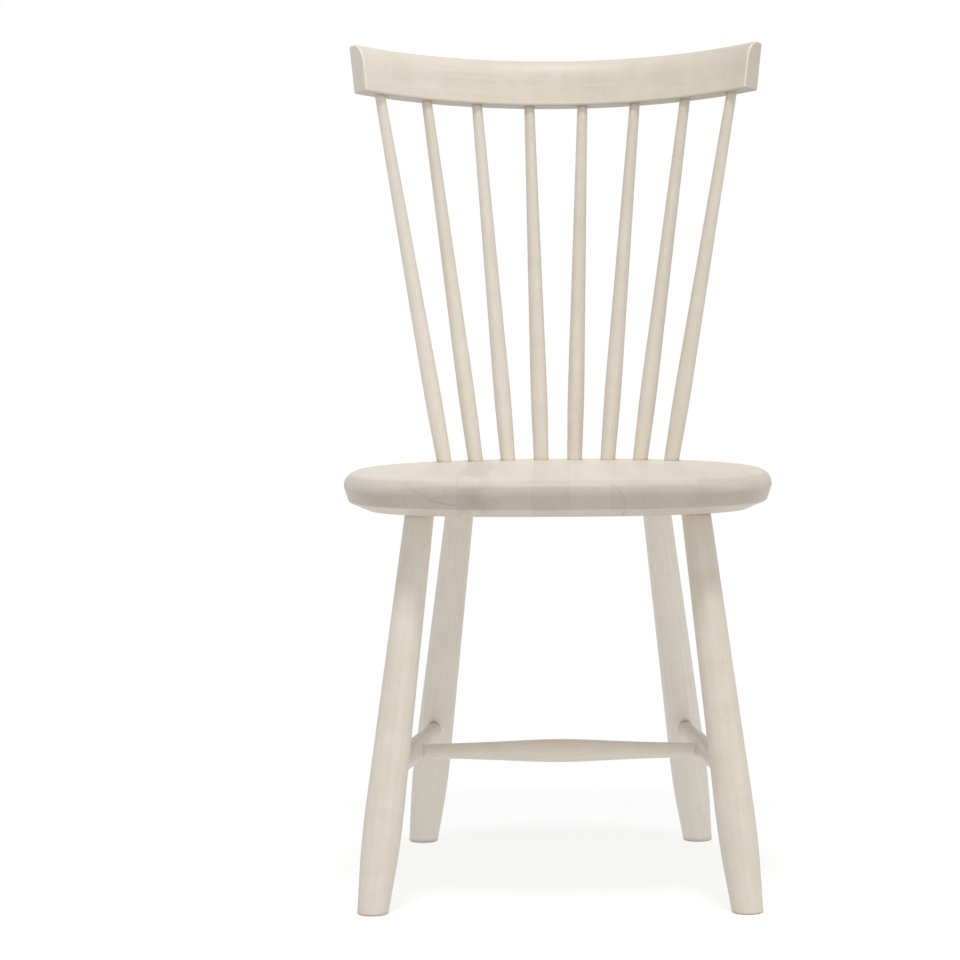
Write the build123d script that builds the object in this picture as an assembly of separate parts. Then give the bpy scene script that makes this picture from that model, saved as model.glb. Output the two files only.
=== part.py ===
from build123d import *
from math import cos, pi, radians, sin, tan
import os

# A spindle back chair. Lengths are in millimetres and angles in degrees.
# X runs to the right of someone facing the chair, Y to its back and Z up from the floor.
# Left and right are those of someone facing the chair, so left is -X.

# Joints between the pieces
glue_gap = 0.1
overrun = 20.0

# Seat, drawn level in its own frame and then tilted down to the back
seat_top_height = 429.5
seat_tilt_angle = 1.6
seat_half_width = 218.0
seat_front_reach = 207.0
seat_back_reach = 201.5
seat_widest_ahead = 34.0
seat_thickness = 37.8
seat_top_round = 12.5
seat_side_draft_angle = 18.5
seat_bevel_inset = 19.5
seat_bevel_height = 8.6
seat_bevel_round = 4.0

# The seat's outline is a rounded square in front of its widest place and behind it
seat_front_exponent = 2.6
seat_back_exponent = 2.25
seat_outline_point_count = 32

# Hollow for the sitter, and the seams between the staves as shares of the half width
hollow_radius = 160.0
hollow_depth = 5.0
hollow_rim_angle = 1.5
hollow_ahead = 22.0
seam_shares = (-0.689, -0.456, -0.114, 0.057, 0.245, 0.642)

# Legs: where the axis meets the seat's underside, in from the seat's widest outline,
# and how far the foot stands out from there
front_leg_in_from_side = 79.4
front_leg_in_from_front = 94.6
front_leg_splay = 48.2
front_leg_rake = 65.6
rear_leg_in_from_side = 115.1
rear_leg_in_from_back = 80.5
rear_leg_splay = 47.9
rear_leg_rake = 116.0

# Turned leg: radii and their heights along the leg
leg_sole_radius = 15.5
leg_sole_round = 1.5
leg_ankle_radius = 17.95
leg_ankle_height = 40.0
leg_calf_radius = 19.5
leg_calf_height = 84.0
leg_shin_radius = 18.75
leg_shin_height = 146.0
leg_top_radius = 14.6
leg_set_in = 6.0
leg_tenon_radius = 12.0
leg_socket_depth = 24.0

# Stretchers: the sides join the legs, and the centre one joins the sides
stretcher_height = 132.7
stretcher_end_radius = 7.3
stretcher_past_axis = 3.0
side_stretcher_radius = 11.6
centre_stretcher_radius = 12.05
swell_shares = ((0.42, 0.36), (0.72, 0.75))
swell_slope_share = 0.8

# Spindles: bases on an arc in the seat, tops on the arc of the crest rail
spindle_count = 8
spindle_base_radius = 270.0
spindle_row_in_from_back = 35.5
spindle_base_angle = 7.6
spindle_top_angle = 10.5
spindle_foot_radius = 7.9
spindle_swell_radius = 8.85
spindle_swell_height = 66.0
spindle_shank_radius = 8.4
spindle_shank_height = 125.0
spindle_tip_radius = 5.5
spindle_seat_socket = 20.0
spindle_crest_socket = 22.0

# Crest rail: a board bent to an arc that leans back
crest_above_seat = 372.5
crest_behind_spindles = 92.2
crest_lean_angle = 12.5
crest_radius = 315.0
crest_board_height = 51.6
crest_thickness = 21.5
crest_nose_depth = 14.0
crest_nose_height = 22.0
crest_end_angle = 42.2
crest_flare_angle = 8.0
crest_spare_angle = 4.0
crest_edge_round = 2.2
crest_sharp_angle = 20.0
quarter_turn_angle = 90.0

spindle_row_behind = seat_back_reach - spindle_row_in_from_back


def leaning_frame(behind, height, angle):
    """Frame on the chair's middle plane whose Z axis leans back from upright."""
    lean = radians(angle)
    return Plane(origin=(0, behind, height), x_dir=(1, 0, 0), z_dir=(0, sin(lean), cos(lean)))


seat_frame = leaning_frame(0, seat_top_height, seat_tilt_angle)
crest_frame = leaning_frame(
    spindle_row_behind + crest_behind_spindles,
    seat_top_height + crest_above_seat,
    crest_lean_angle,
)


def outline_point(turn, inset):
    """Point of the seat's outline, drawn in by the inset, at an angle round from the right."""
    across = cos(turn)
    along = sin(turn)
    if along < 0:
        reach = seat_front_reach - seat_widest_ahead
        exponent = seat_front_exponent
    else:
        reach = seat_back_reach + seat_widest_ahead
        exponent = seat_back_exponent
    spread = (abs(across) ** exponent + abs(along) ** exponent) ** (1 / exponent)
    x = (seat_half_width - inset) * across / spread
    y = (reach - inset) * along / spread - seat_widest_ahead
    return x, y


def seat_slice(inset, depth):
    """Face inside the seat's widest outline by the inset, at a depth under its top."""
    step = 2 * pi / seat_outline_point_count
    turns = [number * step for number in range(seat_outline_point_count)]
    outline = Spline(*[outline_point(turn, inset) for turn in turns], periodic=True)
    return Pos(0, 0, -depth) * make_face(outline)


def hollow():
    """Body that cuts the shallow round hollow into the seat."""
    rim = (hollow_radius, 0)
    floor = (0, -hollow_depth)
    slope = tan(radians(hollow_rim_angle))
    dip = Spline(floor, rim, tangents=[(1, 0), (1, slope)])
    outer = (hollow_radius + overrun, overrun * slope)
    lid = Polyline(rim, outer, (hollow_radius + overrun, overrun), (0, overrun), floor)
    body = revolve(Plane.XZ * make_face(Curve() + [dip, lid]), Axis.Z)
    return Pos(0, -hollow_ahead, 0) * body


def seat_blank():
    """The seat in its own frame, glued up and shaped, before its sockets are bored."""
    slant = tan(radians(seat_side_draft_angle))
    round_reach = slant + 1 / cos(radians(seat_side_draft_angle)) - 1
    top_inset = -seat_top_round * round_reach
    side_depth = seat_thickness - seat_bevel_height
    side_inset = top_inset + side_depth * slant
    top = seat_slice(top_inset, 0)
    side_foot = seat_slice(side_inset, side_depth)
    bottom = seat_slice(side_inset + seat_bevel_inset, seat_thickness)
    body = loft([side_foot, top], ruled=True) + loft([bottom, side_foot], ruled=True)
    rims = body.edges().filter_by(lambda edge: edge.is_closed).sort_by(Axis.Z)
    body = fillet(rims[1], seat_bevel_round)
    body = fillet(body.edges().group_by(Axis.Z)[-1], seat_top_round)
    return body - hollow()


def seat_spot(x, y, depth):
    """Place in the chair of a point under the seat's top."""
    return seat_frame.from_local_coords(Vector(x, y, -depth))


def crest_spot(angle):
    """Place in the chair of a point of the crest rail's underside, on its middle line."""
    across = crest_radius * sin(radians(angle))
    ahead = crest_radius * (1 - cos(radians(angle)))
    return crest_frame.from_local_coords(Vector(across, -ahead, 0))


def turned(*side):
    """Solid turned about Z from the edges of its side, which run up in radius and height."""
    start = side[0] @ 0
    end = side[-1] @ 1
    closing = Polyline(end, (0, end.Y), (0, start.Y), start)
    return revolve(Plane.XZ * make_face(Curve() + [*side, closing]), Axis.Z)


def stand_along(body, start, end):
    """Body whose Z axis is laid from one point towards another."""
    return Plane(origin=start, z_dir=(end - start).normalized()) * body


def leg_axis(side, end, in_from_side, reach, splay, rake):
    """Sole's centre and top of a leg's axis, -1 standing for left and for front."""
    spread = seat_half_width - in_from_side
    foot = Vector(side * (spread + splay), end * (reach + rake), 0)
    top = seat_spot(side * spread, end * reach, seat_thickness)
    return foot, top


def leg_axes():
    """Axis of each leg, by its name."""
    front_reach = seat_front_reach - front_leg_in_from_front
    rear_reach = seat_back_reach - rear_leg_in_from_back
    axes = {}
    for side_name, side in (("left", -1), ("right", 1)):
        axes[f"front_{side_name}_leg"] = leg_axis(
            side, -1, front_leg_in_from_side, front_reach, front_leg_splay, front_leg_rake
        )
        axes[f"rear_{side_name}_leg"] = leg_axis(
            side, 1, rear_leg_in_from_side, rear_reach, rear_leg_splay, rear_leg_rake
        )
    return axes


def leg_body(axis, gap):
    """Turned leg with its tenon, larger by the gap, that still runs on below the floor."""
    foot, top = axis
    length = (top - foot).length
    flare = (leg_ankle_radius - leg_sole_radius) / leg_ankle_height
    shoulder_height = length + leg_set_in
    taper = (leg_top_radius - leg_shin_radius) / (shoulder_height - leg_shin_height)
    below = (leg_sole_radius - flare * overrun + gap, -overrun)
    ankle = (leg_ankle_radius + gap, leg_ankle_height)
    calf = (leg_calf_radius + gap, leg_calf_height)
    shin = (leg_shin_radius + gap, leg_shin_height)
    shoulder = (leg_top_radius + gap, shoulder_height + gap)
    neck = (leg_tenon_radius + gap, shoulder_height + gap)
    tip = (leg_tenon_radius + gap, length + leg_socket_depth + gap)
    body = turned(
        Line(below, ankle),
        Spline(ankle, calf, shin, tangents=[(flare, 1), (taper, 1)]),
        Line(shin, shoulder),
        Polyline(shoulder, neck, tip),
    )
    return stand_along(body, foot, top)


def leg(axis, sockets):
    """Leg cut level at the floor, with its sole's edge eased and its sockets bored."""
    body = split(leg_body(axis, 0), bisect_by=Plane.XY, keep=Keep.TOP)
    body = fillet(body.edges().group_by(Axis.Z)[0], leg_sole_round)
    return body - sockets


def place_at_height(axis, height):
    """Point of a leg's axis at a height above the floor."""
    foot, top = axis
    return foot + (top - foot) * (height / top.Z)


def stretcher_body(start, end, carrier_radius, middle_radius, gap):
    """Turned stretcher, larger by the gap, between two axes that its ends run just past."""
    span = (end - start).length
    reach = span / 2 - carrier_radius
    rise = middle_radius - stretcher_end_radius
    tip = (stretcher_end_radius + gap, -stretcher_past_axis - gap)
    entry = (stretcher_end_radius + gap, carrier_radius)
    swell = [
        (stretcher_end_radius + rise * radius_share + gap, carrier_radius + reach * length_share)
        for length_share, radius_share in swell_shares
    ]
    middle = (middle_radius + gap, span / 2)
    slope = (rise * swell_slope_share, reach)
    lower = Curve() + [Line(tip, entry), Spline(entry, *swell, middle, tangents=[slope, (0, 1)])]
    upper = mirror(lower, about=Plane.XZ.offset(-span / 2))
    closing = Polyline(upper @ 0, (0, span - tip[1]), (0, tip[1]), tip)
    body = revolve(Plane.XZ * make_face(lower + upper + closing), Axis.Z)
    return stand_along(body, start, end)


def stretcher_bodies(gap):
    """The three stretchers, larger by the gap, by their names."""
    axes = leg_axes()
    bodies = {}
    middles = []
    for side_name in ("left", "right"):
        front = place_at_height(axes[f"front_{side_name}_leg"], stretcher_height)
        rear = place_at_height(axes[f"rear_{side_name}_leg"], stretcher_height)
        bodies[f"{side_name}_side_stretcher"] = stretcher_body(
            front, rear, leg_calf_radius, side_stretcher_radius, gap
        )
        middles.append((front + rear) / 2)
    bodies["centre_stretcher"] = stretcher_body(
        *middles, side_stretcher_radius, centre_stretcher_radius, gap
    )
    return bodies


def spindle_body(number, gap):
    """Turned spindle, larger by the gap, from its socket in the seat to the crest rail's."""
    turn = number - (spindle_count + 1) / 2
    base_angle = radians(turn * spindle_base_angle)
    base_y = spindle_row_behind - spindle_base_radius * (1 - cos(base_angle))
    base = seat_spot(spindle_base_radius * sin(base_angle), base_y, 0)
    top = crest_spot(turn * spindle_top_angle)
    length = (top - base).length
    foot = (spindle_foot_radius + gap, -spindle_seat_socket - gap)
    seat_line = (spindle_foot_radius + gap, 0)
    swell = (spindle_swell_radius + gap, spindle_swell_height)
    shank = (spindle_shank_radius + gap, spindle_shank_height)
    crest_line = (spindle_tip_radius + gap, length)
    tip = (spindle_tip_radius + gap, length + spindle_crest_socket + gap)
    swell_slope = (spindle_swell_radius - spindle_foot_radius) / spindle_swell_height
    taper = (spindle_tip_radius - spindle_shank_radius) / (length - spindle_shank_height)
    body = turned(
        Line(foot, seat_line),
        Spline(seat_line, swell, shank, tangents=[(swell_slope, 1), (taper, 1)]),
        Line(shank, crest_line),
        Line(crest_line, tip),
    )
    return stand_along(body, base, top)


def crest_end_cut(side):
    """Plane that ends the crest rail, square to its arc and flared outwards to the top."""
    angle = side * crest_end_angle
    turn = radians(angle)
    along = Vector(cos(turn), -sin(turn), 0) * side
    place = Vector(sin(turn), cos(turn), 0) * crest_radius + Vector(0, 0, crest_board_height / 2)
    return Plane(origin=place, z_dir=along - Vector(0, 0, tan(radians(crest_flare_angle))))


def crest_blank():
    """Crest rail in the frame of its arc, before its sockets are bored."""
    front = crest_radius - crest_thickness / 2
    back = crest_radius + crest_thickness / 2
    nose_centre = (front + crest_nose_depth, crest_board_height - crest_nose_height)
    nose_end = (front + crest_nose_depth, crest_board_height)
    nose_start = (front, crest_board_height - crest_nose_height)
    nose = EllipticalCenterArc(
        nose_centre,
        crest_nose_depth,
        crest_nose_height,
        start_angle=quarter_turn_angle,
        arc_size=quarter_turn_angle,
    )
    board = Polyline(nose_end, (back, crest_board_height), (back, 0), (front, 0), nose_start)
    section = make_face(Curve() + [nose, board])
    sweep_angle = 2 * (crest_end_angle + crest_spare_angle)
    body = revolve(Plane.XZ * section, Axis.Z, sweep_angle)
    body = Rot(0, 0, quarter_turn_angle - sweep_angle / 2) * body
    for side in (-1, 1):
        body = split(body, bisect_by=crest_end_cut(side), keep=Keep.BOTTOM)
    return body


def sharp_edges(body):
    """Edges of a body at which its faces meet at a clear angle."""
    found = []
    for edge in body.edges():
        middle = edge @ 0.5
        sides = [face for face in body.faces() if any(edge.is_same(rim) for rim in face.edges())]
        first, second = (face.normal_at(middle) for face in sides)
        if first.get_angle(second) > crest_sharp_angle:
            found.append(edge)
    return found


def crest_rail(sockets):
    """Crest rail with its edges eased, in its place, with its sockets bored."""
    body = crest_blank()
    body = fillet(sharp_edges(body), crest_edge_round)
    return crest_frame * Pos(0, -crest_radius, 0) * body - sockets


def seat_staves(sockets):
    """The seat's staves, from left to right, with the sockets bored through their seams."""
    body = seat_frame * seat_blank() - sockets
    edge = seat_half_width + overrun
    seams = [-edge] + [share * seat_half_width for share in seam_shares] + [edge]
    depth = seat_thickness + overrun
    length = seat_front_reach + seat_back_reach + overrun
    staves = {}
    for number, (left, right) in enumerate(zip(seams, seams[1:]), start=1):
        strip = Pos((left + right) / 2, 0, -depth / 2 + overrun / 2) * Box(right - left, length, depth)
        staves[f"seat_stave_{number}"] = body & (seat_frame * strip)
    return staves


def chair():
    """Every piece of the chair by its name, with the origin under the middle of the seat."""
    spindle_numbers = range(1, spindle_count + 1)
    leg_sockets = [leg_body(axis, glue_gap) for axis in leg_axes().values()]
    spindle_sockets = [spindle_body(number, glue_gap) for number in spindle_numbers]
    stretcher_sockets = stretcher_bodies(glue_gap)
    stretchers = stretcher_bodies(0)
    pieces = seat_staves(leg_sockets + spindle_sockets)
    for name, axis in leg_axes().items():
        side_name = name.split("_")[1]
        pieces[name] = leg(axis, stretcher_sockets[f"{side_name}_side_stretcher"])
    for side_name in ("left", "right"):
        name = f"{side_name}_side_stretcher"
        pieces[name] = stretchers[name] - stretcher_sockets["centre_stretcher"]
    pieces["centre_stretcher"] = stretchers["centre_stretcher"]
    for number in spindle_numbers:
        pieces[f"spindle_{number}"] = spindle_body(number, 0)
    pieces["crest_rail"] = crest_rail(spindle_sockets)
    return pieces


def centred(pieces):
    """The pieces moved so that the origin is on the floor under the middle of the chair."""
    bounds = Compound(list(pieces.values())).bounding_box()
    middle = bounds.center()
    return {name: Pos(-middle.X, -middle.Y, 0) * piece for name, piece in pieces.items()}


os.makedirs("parts", exist_ok=True)
for name, piece in centred(chair()).items():
    export_step(piece, f"parts/{name}.step")
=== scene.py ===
import math

import bpy
import numpy as np
from mathutils import Matrix, Vector


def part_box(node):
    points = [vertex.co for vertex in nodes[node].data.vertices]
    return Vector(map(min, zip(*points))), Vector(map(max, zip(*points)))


# A spindle back chair in birch with a whitened satin finish. Lengths are in metres.
MM = 0.001

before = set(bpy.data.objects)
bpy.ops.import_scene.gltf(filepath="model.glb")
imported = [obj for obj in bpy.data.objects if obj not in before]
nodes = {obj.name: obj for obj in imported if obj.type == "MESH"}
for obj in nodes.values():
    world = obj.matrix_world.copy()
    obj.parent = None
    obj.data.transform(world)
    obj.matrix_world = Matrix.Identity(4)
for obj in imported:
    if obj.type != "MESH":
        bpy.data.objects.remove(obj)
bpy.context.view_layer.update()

# Camera, as the photograph was taken: far back, a little above the seat, tilted down
IMAGE_WIDTH = 960
FOCAL_PIXELS = 4002.2
SENSOR_WIDTH = 36.0
CAMERA_DISTANCE = 4.149
CAMERA_ASIDE = 0.0089
CAMERA_HEIGHT = 0.7715
CAMERA_TILT_ANGLE = 4.911
CAMERA_PAN_ANGLE = 1.240
CAMERA_ROLL_ANGLE = -0.46
RIGHT_ANGLE = 90

# Distant lamps: a narrow one high in front, and weak wide ones low in front and at both sides.
# Each has its angle round from the front, its angle over the horizon, its spread and its strength.
LAMPS = {
    "key": (0, 72, 10, 1.76),
    "fill": (12, 20, 70, 0.50),
    "left": (-75, 12, 60, 0.18),
    "right": (75, 12, 60, 0.34),
}

# White surroundings, which light the chair less than they show
STUDIO_STRENGTH = 0.38
WHITE = (1, 1, 1, 1)
FLOOR_HALF_WIDTH = 60.0
FLOOR_PAINT = (0.32, 0.32, 0.32, 1)
FLOOR_GLOW = 0.585
FLOOR_SEEN_PAINT = (0.17, 0.17, 0.17, 1)
FLOOR_SEEN_GLOW = 0.835

# Colours of the wood, from its palest tone to its deepest, and of what lies in it and on it
PALE_WOOD = (0.835, 0.780, 0.695, 1)
DEEP_WOOD = (0.575, 0.503, 0.408, 1)
LATE_WOOD = (0.600, 0.500, 0.400, 1)
HEART_WOOD = (0.520, 0.450, 0.385, 1)
PORE_BROWN = (0.430, 0.340, 0.260, 1)
GLUE_BROWN = (0.400, 0.330, 0.270, 1)
PIGMENT_WHITE = (0.830, 0.775, 0.710, 1)
# A pale painted highlight for the rounded arrises
HIGHLIGHT_WHITE = (0.900, 0.850, 0.780, 1)

# A darker colour where the wood's grain ends; painted shade at a stave's rim; and painted shade in
# corners where pieces meet and under the crest rail, with the reach and samples of the corner shade
END_SHADE = (0.870, 0.860, 0.850, 1)
RIM_PAINTED_SHADE = (0.870, 0.862, 0.875, 1)
PAINTED_SHADE = (0.640, 0.620, 0.590, 1)
CORNER_SHADE_REACH = 7 * MM
CORNER_SHADE_SAMPLES = 8

# Noises in the wood: cycles a metre across the grain twice and along it, detail and roughness.
# The first two bend the grain, by up to half their reach either way. Each piece's seed, times
# the step, moves it through the noises to wood of its own.
WANDER_NOISE = ((7, 7, 1.3), 1.0, 0.5)
RIPPLE_NOISE = ((60, 60, 7), 2.0, 0.5)
FIBRE_NOISE = ((900, 900, 14), 3.0, 0.6)
STREAK_NOISE = ((170, 170, 3.5), 2.0, 0.6)
VESSEL_NOISE = ((2400, 2400, 130), 0.0, 0.5)
FLECK_NOISE = ((420, 420, 70), 0.0, 0.5)
CLOUD_NOISE = ((12, 12, 2.2), 2.0, 0.5)
CURL_NOISE = ((26, 26, 75), 1.0, 0.5)
FILM_NOISE = ((34, 34, 34), 3.0, 0.5)
HEART_EDGE_NOISE = ((55, 55, 6), 1.0, 0.5)
NOISE_MIDDLE = (0.5, 0.5, 0.5)
WANDER_REACH = (16 * MM, 16 * MM, 0)
RIPPLE_REACH = (1.6 * MM, 1.6 * MM, 0)
SEED_STEP = 0.173

# Growth rings: their spacing, and noises over the radius and the tone for how unevenly they come
# and how clear each one is
RING_SPACING = 2.6 * MM
RING_PACE_NOISE = ((90, 9, 0), 1.0, 0.5)
RING_PACE_TURNS = 3.0
RING_CLEARNESS_NOISE = ((210, 0, 31), 1.0, 0.5)
ACROSS_GRAIN = (1, 1, 0)

# Ramps in the wood: where each starts and ends, and its results there if not nought and one.
# A heart or a mark whose radius is no more than the least one isn't there.
RING_RISE = (0.45, 0.93)
RING_FALL = (0.94, 1.0, 1.0, 0.0)
RING_CLEARNESS_RAMP = (0.3, 0.75, 0.15, 1.0)
CLOUD_TONE_RAMP = (0.25, 0.75, -0.09, 0.09)
STREAK_TONE_RAMP = (0.2, 0.8, -0.075, 0.075)
CURL_TONE_RAMP = (0.3, 0.7, -0.027, 0.027)
FIBRE_TONE_RAMP = (0.2, 0.8, -0.06, 0.06)
HEART_EDGE_RAMP = (0.3, 0.7, 0.6, 1.3)
HEART_RAMP = (0.35, 1.1, 0.70, 0.0)
MARK_RAMP = (0.3 * MM, 1.7 * MM, 0.55, 0.0)
LEAST_RADIUS = 1 * MM
PORE_RAMP = (0.68, 0.76)
FLECK_RAMP = (0.79, 0.84)
FILM_RAMP = (0.3, 0.7, 0.0, 0.20)
FILM_ROUGHNESS_RAMP = (0.25, 0.75, 0.40, 0.50)

# Ramps over a piece: over how square its surface is to the grain, over how far it faces upwards,
# and over how open it is to its surroundings
END_RAMP = (0.05, 0.7)
ARRIS_RISE = (0.12, 0.4)
ARRIS_FALL = (0.7, 0.95)
# The painted highlight on an arris stays off surfaces that face down
HIGHLIGHT_UPWARD_RAMP = (-0.35, -0.05)
# Painted shade on a stave's rim, where it turns from facing up or down
RIM_SHADE_RAMP = (0.75, 1.0, 1.0, 0.0)
# Painted shade under a piece, where it faces down
UNDERSIDE_SHADE_RAMP = (-0.9, -0.5, 0.85, 0.0)
# Painted shade in corners, where little of the surroundings is open
CORNER_SHADE_RAMP = (0.3, 0.9, 1.0, 0.0)

# Shares of each thing in the colour of the wood
LATE_SHARE = 0.17
LATE_END_SHARE = 0.12
PORE_SHARE = 0.13
FLECK_SHARE = 0.22
SEAM_SHARE = 0.32
SEAM_TOP_SHARE = 0.22
# Share of the painted highlight on the arrises
HIGHLIGHT_SHARE = 0.2

# What each thing adds to the roughness and to the height of the relief
FIBRE_ROUGHNESS = 0.05
PORE_ROUGHNESS = 0.12
END_ROUGHNESS = 0.07
FIBRE_HEIGHT_SHARE = 0.25
LATE_HEIGHT_SHARE = 0.18
PORE_HEIGHT_SHARE = -0.45
FILM_HEIGHT_SHARE = 0.5
SEAM_HEIGHT_SHARE = -0.9
RELIEF_DEPTH = 0.12 * MM
RELIEF_STRENGTH = 0.35
SPECULAR_LEVEL = 0.35
COAT_WEIGHT = 0.05
COAT_ROUGHNESS = 0.32

# Tone of each turned piece, from pale at nought to deep at one, and its drift a metre upwards.
# The tones are partly each piece's own and partly painted light: the side stretchers are deeper
# as painted shade under the seat, and the rear legs paler as painted light. The spindles' drift,
# paler towards the seat and deeper towards the crest rail, is painted light and shade.
TURNED_TONES_AND_SHADES = {
    "front_left_leg": 0.58,
    "front_right_leg": 0.68,
    "rear_left_leg": 0.24,
    "rear_right_leg": 0.11,
    "left_side_stretcher": 0.55,
    "right_side_stretcher": 0.55,
    "centre_stretcher": 0.35,
    "spindle_1": 0.31,
    "spindle_2": 0.52,
    "spindle_3": 0.40,
    "spindle_4": 0.57,
    "spindle_5": 0.70,
    "spindle_6": 0.64,
    "spindle_7": 0.67,
    "spindle_8": 0.70,
}
SPINDLE_SHADE_DRIFT = 0.60

# Turned pieces: the pith lies outside each, at one of a few distances, and turns from one piece
# to the next by an angle in radians. Corners past the end share of the reach make up an end.
PITH_NEAREST = 30 * MM
PITH_STEP = 9 * MM
PITH_STEPS = 4
PITH_TURN = 2.4
END_REACH_SHARE = 0.8

# Seat staves from the left: the pith beside each, as shares of the stave's width and of its
# thickness under its top, the radius of its darker heart and that of one dark ring
STAVE_PITH_SHARES = (
    (0.8, 2.4),
    (1.0, -0.96),
    (0.18, 0.45),
    (0.4, 2.6),
    (0.6, -1.4),
    (-0.09, 0.68),
    (0.3, 2.2),
)
MIDDLE_SHARE = 0.5
STAVE_TONES = (0.62, 0.60, 0.52, 0.65, 0.56, 0.68, 0.73)
STAVE_HEARTS = (0, 0, 28 * MM, 0, 0, 0, 0)
STAVE_MARKS = (0, 72.6 * MM, 0, 0, 0, 22 * MM, 0)
STAVE_SEED = 40
SEAT_TILT_ANGLE = 1.6
SEAM_LINE_WIDTH = 0.45 * MM

# Crest rail: a board bent round an upright axis that leans back, its tone drifting to the right
CREST_RADIUS = 0.315
CREST_LEAN_ANGLE = 12.5
CREST_UNDERSIDE = (0, 0.2216, 0.802)
CREST_PITH = (55 * MM, 20 * MM, 0)
CREST_SEED = 60
CREST_TONE = 0.63
CREST_TONE_DRIFT = 0.92
CREST_END_SHARE = 0.75
# The crest rail's share of the painted highlight on its end arrises
CREST_HIGHLIGHT_SHARE = 0.6


def add_camera():
    """Camera in front of the chair, almost on its middle plane."""
    data = bpy.data.cameras.new("camera")
    data.lens = FOCAL_PIXELS * SENSOR_WIDTH / IMAGE_WIDTH
    data.sensor_width = SENSOR_WIDTH
    camera = bpy.data.objects.new("camera", data)
    bpy.context.collection.objects.link(camera)
    pan = Matrix.Rotation(math.radians(CAMERA_PAN_ANGLE), 4, "Z")
    tilt = Matrix.Rotation(math.radians(RIGHT_ANGLE - CAMERA_TILT_ANGLE), 4, "X")
    roll = Matrix.Rotation(math.radians(CAMERA_ROLL_ANGLE), 4, "Z")
    place = Matrix.Translation((CAMERA_ASIDE, -CAMERA_DISTANCE, CAMERA_HEIGHT))
    camera.matrix_world = place @ pan @ tilt @ roll
    bpy.context.scene.camera = camera


class Net:
    """A node tree being made, with a short call for each kind of node used here."""

    def __init__(self, tree):
        self.tree = tree

    def add(self, kind, **settings):
        """New node with its settings."""
        node = self.tree.nodes.new(kind)
        for name, value in settings.items():
            setattr(node, name, value)
        return node

    def feed(self, socket, value):
        """Link a socket into an input, or set the input's own value."""
        if isinstance(value, bpy.types.NodeSocket):
            self.tree.links.new(value, socket)
        else:
            socket.default_value = value

    def math(self, operation, *values):
        """Result of a sum on numbers."""
        node = self.add("ShaderNodeMath", operation=operation)
        for socket, value in zip(node.inputs, values):
            self.feed(socket, value)
        return node.outputs[0]

    def total(self, *values):
        """Sum of several numbers."""
        result = values[0]
        for value in values[1:]:
            result = self.math("ADD", result, value)
        return result

    def scaled(self, value, factor):
        """A number times a factor."""
        return self.math("MULTIPLY", value, factor)

    def clamped(self, value):
        """A number held between nought and one."""
        return self.math("MINIMUM", self.math("MAXIMUM", value, 0.0), 1.0)

    def vector(self, operation, *values):
        """Result of a sum on vectors, a number for a length or a product."""
        node = self.add("ShaderNodeVectorMath", operation=operation)
        for socket, value in zip(node.inputs, values):
            self.feed(socket, value)
        number = operation in ("LENGTH", "DOT_PRODUCT")
        return node.outputs["Value" if number else "Vector"]

    def split(self, vector):
        """The three parts of a vector."""
        node = self.add("ShaderNodeSeparateXYZ")
        self.feed(node.inputs[0], vector)
        return node.outputs

    def join(self, x, y, z):
        """Vector of three parts."""
        node = self.add("ShaderNodeCombineXYZ")
        for socket, value in zip(node.inputs, (x, y, z)):
            self.feed(socket, value)
        return node.outputs[0]

    def local(self, place, origin, turn):
        """A place as read in a frame with its own origin and turn."""
        node = self.add("ShaderNodeMapping", vector_type="TEXTURE")
        node.inputs["Location"].default_value = origin
        node.inputs["Rotation"].default_value = turn
        self.feed(node.inputs["Vector"], place)
        return node.outputs[0]

    def ramp(self, value, start, end, low=0.0, high=1.0):
        """Value taken smoothly from low at the start to high at the end."""
        node = self.add("ShaderNodeMapRange", interpolation_type="SMOOTHSTEP")
        names = ("Value", "From Min", "From Max", "To Min", "To Max")
        for name, setting in zip(names, (value, start, end, low, high)):
            self.feed(node.inputs[name], setting)
        return node.outputs[0]

    def noise(self, place, cycles, detail, roughness):
        """Noise node read at a place, with its cycles a metre along each axis."""
        node = self.add("ShaderNodeTexNoise")
        self.feed(node.inputs["Vector"], self.vector("MULTIPLY", place, cycles))
        node.inputs["Scale"].default_value = 1.0
        node.inputs["Detail"].default_value = detail
        node.inputs["Roughness"].default_value = roughness
        return node

    def level(self, place, kind):
        """Level of one kind of noise at a place."""
        return self.noise(place, *kind).outputs[0]

    def shift(self, place, kind, reach):
        """Offset by one kind of noise, up to half the reach either way."""
        wander = self.noise(place, *kind).outputs["Color"]
        return self.vector("MULTIPLY", self.vector("SUBTRACT", wander, NOISE_MIDDLE), reach)

    def blend(self, share, first, second, kind="MIX"):
        """Colour blended from the first to the second by a share."""
        node = self.add("ShaderNodeMix", data_type="RGBA", blend_type=kind)
        inputs = {socket.identifier: socket for socket in node.inputs}
        outputs = {socket.identifier: socket for socket in node.outputs}
        self.feed(inputs["Factor_Float"], share)
        self.feed(inputs["A_Color"], first)
        self.feed(inputs["B_Color"], second)
        return outputs["Result_Color"]


def birch_sockets(tree):
    """Inputs and outputs of the birch group."""
    vectors = ("Grain", "Pith", "Seed")
    # The last three numbers carry painted shade at a stave's rim, a painted highlight on arrises,
    # and painted shade in corners and underneath
    numbers = ("Heart", "Mark", "Tone", "Drift", "End", "Seam", "Rim Shade", "Highlight", "Painted Shade")
    for name in vectors:
        tree.interface.new_socket(name=name, in_out="INPUT", socket_type="NodeSocketVector")
    for name in numbers:
        tree.interface.new_socket(name=name, in_out="INPUT", socket_type="NodeSocketFloat")
    for name, kind in (("Color", "Color"), ("Roughness", "Float"), ("Height", "Float")):
        tree.interface.new_socket(name=name, in_out="OUTPUT", socket_type=f"NodeSocket{kind}")


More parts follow.
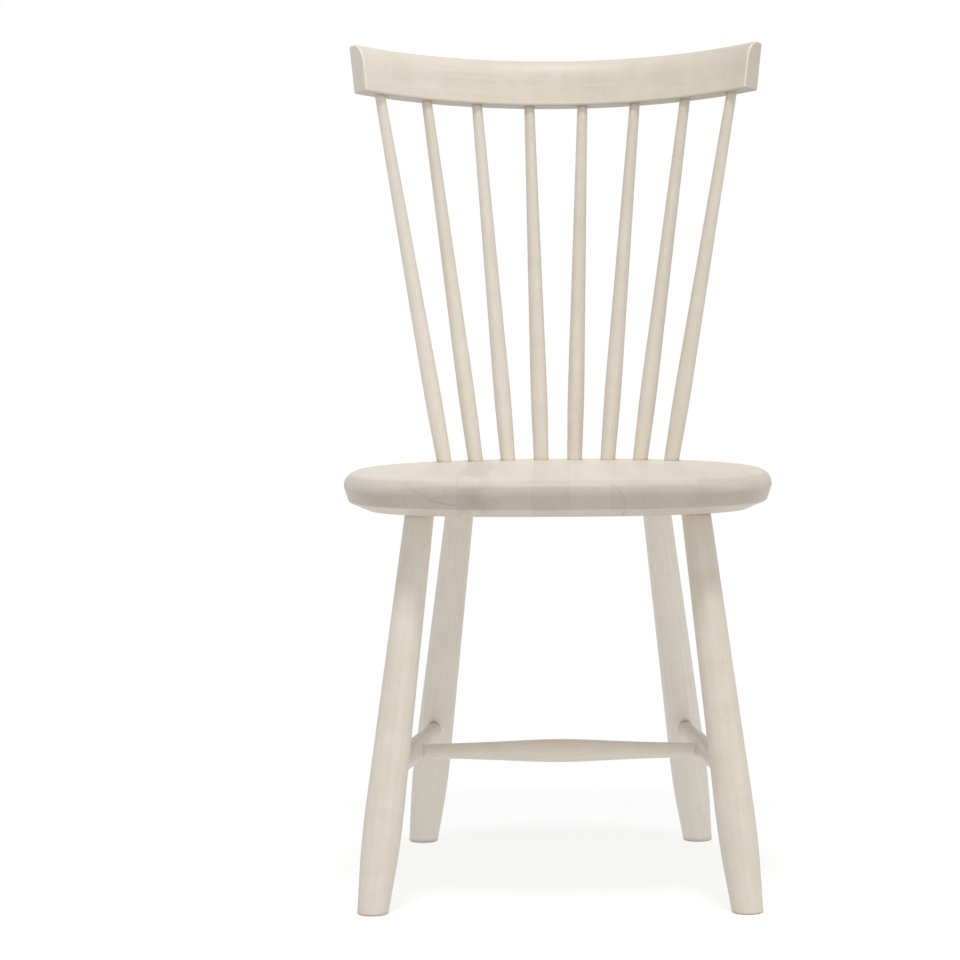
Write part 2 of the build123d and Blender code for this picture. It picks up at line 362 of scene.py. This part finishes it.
def growth_rings(net, given, place):
    """Radius from the pith, and how late the wood there is in its year's ring."""
    bent = net.vector("ADD", given["Grain"], net.shift(place, WANDER_NOISE, WANDER_REACH))
    bent = net.vector("ADD", bent, net.shift(place, RIPPLE_NOISE, RIPPLE_REACH))
    offset = net.vector("MULTIPLY", net.vector("SUBTRACT", bent, given["Pith"]), ACROSS_GRAIN)
    radius = net.vector("LENGTH", offset)
    pace = net.level(net.join(radius, given["Tone"], 0.0), RING_PACE_NOISE)
    turns = net.total(net.math("DIVIDE", radius, RING_SPACING), net.scaled(pace, RING_PACE_TURNS))
    phase = net.math("FRACT", turns)
    late = net.scaled(net.ramp(phase, *RING_RISE), net.ramp(phase, *RING_FALL))
    clearness = net.level(net.join(radius, 0.0, given["Tone"]), RING_CLEARNESS_NOISE)
    return radius, net.scaled(late, net.ramp(clearness, *RING_CLEARNESS_RAMP))


def board_tone(net, given, place, fibre):
    """Tone of the wood, which drifts, clouds, streaks and shimmers about that of its piece; on the
    spindles the drift is painted light and shade.
    """
    tone = net.total(
        given["Tone"],
        net.scaled(given["Drift"], net.split(given["Grain"])["Z"]),
        net.ramp(net.level(place, CLOUD_NOISE), *CLOUD_TONE_RAMP),
        net.ramp(net.level(place, STREAK_NOISE), *STREAK_TONE_RAMP),
        net.ramp(net.level(place, CURL_NOISE), *CURL_TONE_RAMP),
        net.ramp(fibre, *FIBRE_TONE_RAMP),
    )
    return net.clamped(tone)


def dark_parts(net, given, place, radius):
    """Share of darker heart round the pith and of one darker ring."""
    uneven = net.ramp(net.level(place, HEART_EDGE_NOISE), *HEART_EDGE_RAMP)
    edge = net.scaled(net.math("MAXIMUM", given["Heart"], LEAST_RADIUS), uneven)
    core = net.ramp(net.math("DIVIDE", radius, edge), *HEART_RAMP)
    core = net.scaled(core, net.math("GREATER_THAN", given["Heart"], LEAST_RADIUS))
    aside = net.math("ABSOLUTE", net.math("SUBTRACT", radius, given["Mark"]))
    ring = net.ramp(aside, *MARK_RAMP)
    ring = net.scaled(ring, net.math("GREATER_THAN", given["Mark"], LEAST_RADIUS))
    return net.math("MAXIMUM", core, ring)


def birch_group():
    """Node group that makes birch from a place whose Z runs along the grain."""
    tree = bpy.data.node_groups.new("whitened_birch", "ShaderNodeTree")
    birch_sockets(tree)
    net = Net(tree)
    given = net.add("NodeGroupInput").outputs
    out = net.add("NodeGroupOutput").inputs
    place = net.vector("ADD", given["Grain"], given["Seed"])
    radius, late = growth_rings(net, given, place)
    fibre = net.level(place, FIBRE_NOISE)
    pore = net.ramp(net.level(place, VESSEL_NOISE), *PORE_RAMP)
    fleck = net.ramp(net.level(place, FLECK_NOISE), *FLECK_RAMP)
    film = net.level(place, FILM_NOISE)

    # Colour, from the bare wood to the pigment in the finish, then the darker end grain, painted
    # shade at a stave's rim, a painted highlight on the arrises, the glue lines, and painted shade
    # in corners and underneath
    colour = net.blend(board_tone(net, given, place, fibre), PALE_WOOD, DEEP_WOOD)
    late_share = net.total(net.scaled(given["End"], LATE_END_SHARE), LATE_SHARE)
    colour = net.blend(net.scaled(late, late_share), colour, LATE_WOOD)
    colour = net.blend(dark_parts(net, given, place, radius), colour, HEART_WOOD)
    colour = net.blend(net.scaled(pore, PORE_SHARE), colour, PORE_BROWN)
    colour = net.blend(net.scaled(fleck, FLECK_SHARE), colour, PORE_BROWN)
    colour = net.blend(net.ramp(film, *FILM_RAMP), colour, PIGMENT_WHITE)
    colour = net.blend(given["End"], colour, END_SHADE, "MULTIPLY")
    # Painted shade at a stave's rim
    colour = net.blend(given["Rim Shade"], colour, RIM_PAINTED_SHADE, "MULTIPLY")
    # Painted highlight on the rounded arrises
    colour = net.blend(given["Highlight"], colour, HIGHLIGHT_WHITE)
    colour = net.blend(net.scaled(given["Seam"], SEAM_SHARE), colour, GLUE_BROWN)
    # Painted shade in corners where pieces meet, and underneath
    net.feed(out["Color"], net.blend(given["Painted Shade"], colour, PAINTED_SHADE, "MULTIPLY"))

    # Satin sheen: duller in the pores, along the fibres and where the grain ends
    rough = net.total(
        net.ramp(film, *FILM_ROUGHNESS_RAMP),
        net.scaled(fibre, FIBRE_ROUGHNESS),
        net.scaled(pore, PORE_ROUGHNESS),
        net.scaled(given["End"], END_ROUGHNESS),
    )
    net.feed(out["Roughness"], rough)

    # Relief: fibres, sunken pores and seams, and faint ridges of late wood
    height = net.total(
        net.scaled(fibre, FIBRE_HEIGHT_SHARE),
        net.scaled(late, LATE_HEIGHT_SHARE),
        net.scaled(pore, PORE_HEIGHT_SHARE),
        net.scaled(film, FILM_HEIGHT_SHARE),
        net.scaled(given["Seam"], SEAM_HEIGHT_SHARE),
    )
    net.feed(out["Height"], height)
    return tree


def arris_highlight(net, squareness, upward, highlight_share):
    """Share of a pale painted highlight where a rounded arris turns to the end grain, but not
    underneath.
    """
    rise = net.ramp(squareness, *ARRIS_RISE)
    fall = net.ramp(squareness, *ARRIS_FALL, highlight_share, 0.0)
    return net.scaled(net.scaled(rise, fall), net.ramp(upward, *HIGHLIGHT_UPWARD_RAMP))


def painted_shade_share(net, upward, shaded_below):
    """Share of painted shade in corners where pieces meet, and of painted shade on an underside."""
    openness = net.add("ShaderNodeAmbientOcclusion", samples=CORNER_SHADE_SAMPLES)
    openness.inputs["Distance"].default_value = CORNER_SHADE_REACH
    painted_shade = net.ramp(openness.outputs["AO"], *CORNER_SHADE_RAMP)
    # Painted shade on the underside, where the surface faces down
    if shaded_below:
        painted_shade = net.math("MAXIMUM", painted_shade, net.ramp(upward, *UNDERSIDE_SHADE_RAMP))
    return painted_shade


def feed_seam(net, group, where, upward, seam):
    """A stave's rim in painted shade, and its glue lines, which show most on that rim."""
    shaded_rim = net.ramp(net.math("ABSOLUTE", upward), *RIM_SHADE_RAMP)
    clearness = net.total(net.scaled(shaded_rim, 1 - SEAM_TOP_SHARE), SEAM_TOP_SHARE)
    net.feed(group.inputs["Rim Shade"], shaded_rim)
    net.feed(group.inputs["Seam"], net.scaled(seam(net, where), clearness))


def feed_shader(net, group):
    """Colour, roughness and relief of the wood, under a thin satin coat."""
    shader = net.tree.nodes["Principled BSDF"]
    bump = net.add("ShaderNodeBump")
    bump.inputs["Strength"].default_value = RELIEF_STRENGTH
    bump.inputs["Distance"].default_value = RELIEF_DEPTH
    net.feed(bump.inputs["Height"], group.outputs["Height"])
    net.feed(shader.inputs["Base Color"], group.outputs["Color"])
    net.feed(shader.inputs["Roughness"], group.outputs["Roughness"])
    net.feed(shader.inputs["Normal"], bump.outputs["Normal"])
    shader.inputs["Specular IOR Level"].default_value = SPECULAR_LEVEL
    shader.inputs["Coat Weight"].default_value = COAT_WEIGHT
    shader.inputs["Coat Roughness"].default_value = COAT_ROUGHNESS


def dress(
    name, seed, grain, axis, traits, seam=None, end_share=1, highlight_share=HIGHLIGHT_SHARE, shaded_below=False
):
    """Give a piece its birch, from callables that place its grain, its axis and its seams."""
    material = bpy.data.materials.new(name)
    material.use_nodes = True
    net = Net(material.node_tree)
    where = net.add("ShaderNodeTexCoord").outputs["Object"]
    facing = net.add("ShaderNodeNewGeometry").outputs["Normal"]
    upward = net.split(facing)["Z"]
    squareness = net.math("ABSOLUTE", net.vector("DOT_PRODUCT", facing, axis(net, where)))
    group = net.add("ShaderNodeGroup", node_tree=BIRCH)
    for socket_name, value in traits.items():
        group.inputs[socket_name].default_value = value
    group.inputs["Seed"].default_value = (SEED_STEP * seed, -SEED_STEP * seed, SEED_STEP * seed)
    net.feed(group.inputs["Grain"], grain(net, where))
    net.feed(group.inputs["End"], net.ramp(squareness, *END_RAMP, 0.0, end_share))
    # Painted highlight where a rounded arris turns to the end grain
    net.feed(group.inputs["Highlight"], arris_highlight(net, squareness, upward, highlight_share))
    # Painted shade in corners, and under the piece if asked
    net.feed(group.inputs["Painted Shade"], painted_shade_share(net, upward, shaded_below))
    if seam:
        feed_seam(net, group, where, upward, seam)
    feed_shader(net, group)
    nodes[name].data.materials.clear()
    nodes[name].data.materials.append(material)


def straight_grain(centre, direction):
    """Callables for a grain that runs straight along a direction through a centre."""
    turn = direction.to_track_quat("Z", "Y").to_euler()

    def grain(net, where):
        return net.local(where, centre, turn)

    def axis(net, where):
        return tuple(direction)

    return grain, axis


def bent_grain():
    """Callables for a grain that follows the bend of the crest rail."""
    lean = Matrix.Rotation(math.radians(-CREST_LEAN_ANGLE), 3, "X")
    centre = Vector(CREST_UNDERSIDE) + lean @ Vector((0, -CREST_RADIUS, 0))

    def grain(net, where):
        x, y, z = net.split(net.local(where, centre, lean.to_euler()))
        spread = net.vector("LENGTH", net.join(x, y, 0.0))
        depth = net.math("SUBTRACT", spread, CREST_RADIUS)
        along = net.scaled(net.math("ARCTAN2", x, y), CREST_RADIUS)
        return net.join(depth, z, along)

    def axis(net, where):
        x, y, z = net.split(net.local(where, centre, lean.to_euler()))
        round_way = net.vector("NORMALIZE", net.join(y, net.scaled(x, -1.0), 0.0))
        turn = net.add("ShaderNodeVectorRotate", rotation_type="X_AXIS")
        turn.inputs["Angle"].default_value = math.radians(-CREST_LEAN_ANGLE)
        net.feed(turn.inputs["Vector"], round_way)
        return turn.outputs["Vector"]

    return grain, axis


def seam_lines(low, high):
    """Callable for the glue lines along both sides of a stave."""
    middle = (low + high) / 2
    half = (high - low) / 2

    def seam(net, where):
        across = net.split(where)["X"]
        aside = net.math("ABSOLUTE", net.math("SUBTRACT", across, middle))
        return net.ramp(aside, half - SEAM_LINE_WIDTH, half)

    return seam


def long_axis(node):
    """Centre of a long straight piece and its direction, upwards, from its corners."""
    points = np.array([vertex.co for vertex in node.data.vertices])
    spread = points - points.mean(0)
    direction = np.linalg.eigh(spread.T @ spread)[1][:, -1]
    reach = spread @ direction
    first = points[reach < reach.min() * END_REACH_SHARE].mean(0)
    second = points[reach > reach.max() * END_REACH_SHARE].mean(0)
    lower, upper = sorted((first, second), key=lambda end: end[2])
    return Vector((lower + upper) / 2), Vector(upper - lower).normalized()


def dress_turned():
    """Turned pieces: the grain runs along each, with the pith well outside it."""
    for seed, name in enumerate(sorted(TURNED_TONES_AND_SHADES)):
        grain, axis = straight_grain(*long_axis(nodes[name]))
        turn = seed * PITH_TURN
        reach = PITH_NEAREST + PITH_STEP * (seed % PITH_STEPS)
        traits = {
            "Pith": (reach * math.cos(turn), reach * math.sin(turn), 0),
            "Tone": TURNED_TONES_AND_SHADES[name],
            # On the spindles, a drift of tone along them as painted light and shade: paler near the
            # seat
            "Drift": SPINDLE_SHADE_DRIFT if name.startswith("spindle") else 0,
        }
        dress(name, seed, grain, axis, traits)


def dress_staves():
    """Seat staves: grain from front to back, each with its own pith, tone and dark parts."""
    direction = Matrix.Rotation(math.radians(-SEAT_TILT_ANGLE), 3, "X") @ Vector((0, 1, 0))
    turn = direction.to_track_quat("Z", "Y").to_matrix()
    for count, (across, under) in enumerate(STAVE_PITH_SHARES):
        name = f"seat_stave_{count + 1}"
        low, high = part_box(name)
        size = high - low
        grain, axis = straight_grain((low + high) / 2, direction)
        spot = Vector(((across - MIDDLE_SHARE) * size.x, 0, (MIDDLE_SHARE - under) * size.z))
        traits = {
            "Pith": turn.transposed() @ spot,
            "Tone": STAVE_TONES[count],
            "Heart": STAVE_HEARTS[count],
            "Mark": STAVE_MARKS[count],
        }
        dress(name, STAVE_SEED + count, grain, axis, traits, seam=seam_lines(low.x, high.x))


def dress_crest():
    """Crest rail: its grain follows the bend, its end arrises get a pale painted highlight, and its
    underside gets painted shade.
    """
    grain, axis = bent_grain()
    traits = {"Pith": CREST_PITH, "Tone": CREST_TONE, "Drift": CREST_TONE_DRIFT}
    shares = {"end_share": CREST_END_SHARE, "highlight_share": CREST_HIGHLIGHT_SHARE}
    dress("crest_rail", CREST_SEED, grain, axis, traits, shaded_below=True, **shares)


def seen_rays(net):
    """One for the rays that show a backdrop, straight, mirrored or through glass, else zero."""
    path = net.add("ShaderNodeLightPath").outputs
    seen = net.math("MAXIMUM", path["Is Camera Ray"], path["Is Glossy Ray"])
    return net.math("MAXIMUM", seen, path["Is Transmission Ray"])


def add_floor():
    """Wide white floor that keeps the chair's soft shadow."""
    size = FLOOR_HALF_WIDTH
    mesh = bpy.data.meshes.new("floor")
    corners = [(-size, -size, 0), (size, -size, 0), (size, size, 0), (-size, size, 0)]
    mesh.from_pydata(corners, [], [(0, 1, 2, 3)])
    floor = bpy.data.objects.new("floor", mesh)
    bpy.context.collection.objects.link(floor)
    material = bpy.data.materials.new("floor")
    material.use_nodes = True
    net = Net(material.node_tree)
    net.tree.nodes.clear()
    seen = seen_rays(net)
    paint = net.add("ShaderNodeBsdfDiffuse")
    net.feed(paint.inputs["Color"], net.blend(seen, FLOOR_PAINT, FLOOR_SEEN_PAINT))
    glow = net.add("ShaderNodeEmission")
    net.feed(glow.inputs["Strength"], net.ramp(seen, 0.0, 1.0, FLOOR_GLOW, FLOOR_SEEN_GLOW))
    both = net.add("ShaderNodeAddShader")
    net.feed(both.inputs[0], paint.outputs[0])
    net.feed(both.inputs[1], glow.outputs[0])
    net.feed(net.add("ShaderNodeOutputMaterial").inputs[0], both.outputs[0])
    mesh.materials.append(material)


def add_world():
    """Even studio light, with a white backdrop where it is seen."""
    world = bpy.data.worlds.new("studio")
    bpy.context.scene.world = world
    world.use_nodes = True
    net = Net(world.node_tree)
    net.tree.nodes.clear()
    light = net.add("ShaderNodeBackground")
    light.inputs["Color"].default_value = WHITE
    light.inputs["Strength"].default_value = STUDIO_STRENGTH
    backdrop = net.add("ShaderNodeBackground")
    backdrop.inputs["Color"].default_value = WHITE
    mix = net.add("ShaderNodeMixShader")
    net.feed(mix.inputs[0], seen_rays(net))
    net.feed(mix.inputs[1], light.outputs[0])
    net.feed(mix.inputs[2], backdrop.outputs[0])
    net.feed(net.add("ShaderNodeOutputWorld").inputs[0], mix.outputs[0])


def add_lamp(name, heading_angle, height_angle, spread_angle, strength):
    """Distant lamp, at a heading round from the front and a height over the horizon."""
    data = bpy.data.lights.new(name, "SUN")
    data.energy = strength
    data.angle = math.radians(spread_angle)
    lamp = bpy.data.objects.new(name, data)
    bpy.context.collection.objects.link(lamp)
    turn = Matrix.Rotation(math.radians(heading_angle), 4, "Z")
    tip = Matrix.Rotation(math.radians(RIGHT_ANGLE - height_angle), 4, "X")
    lamp.matrix_world = turn @ tip


BIRCH = birch_group()

add_camera()
add_floor()
add_world()
for lamp_name, angles_and_strength in LAMPS.items():
    add_lamp(lamp_name, *angles_and_strength)
dress_turned()
dress_staves()
dress_crest()
bpy.context.scene.view_settings.view_transform = "Standard"
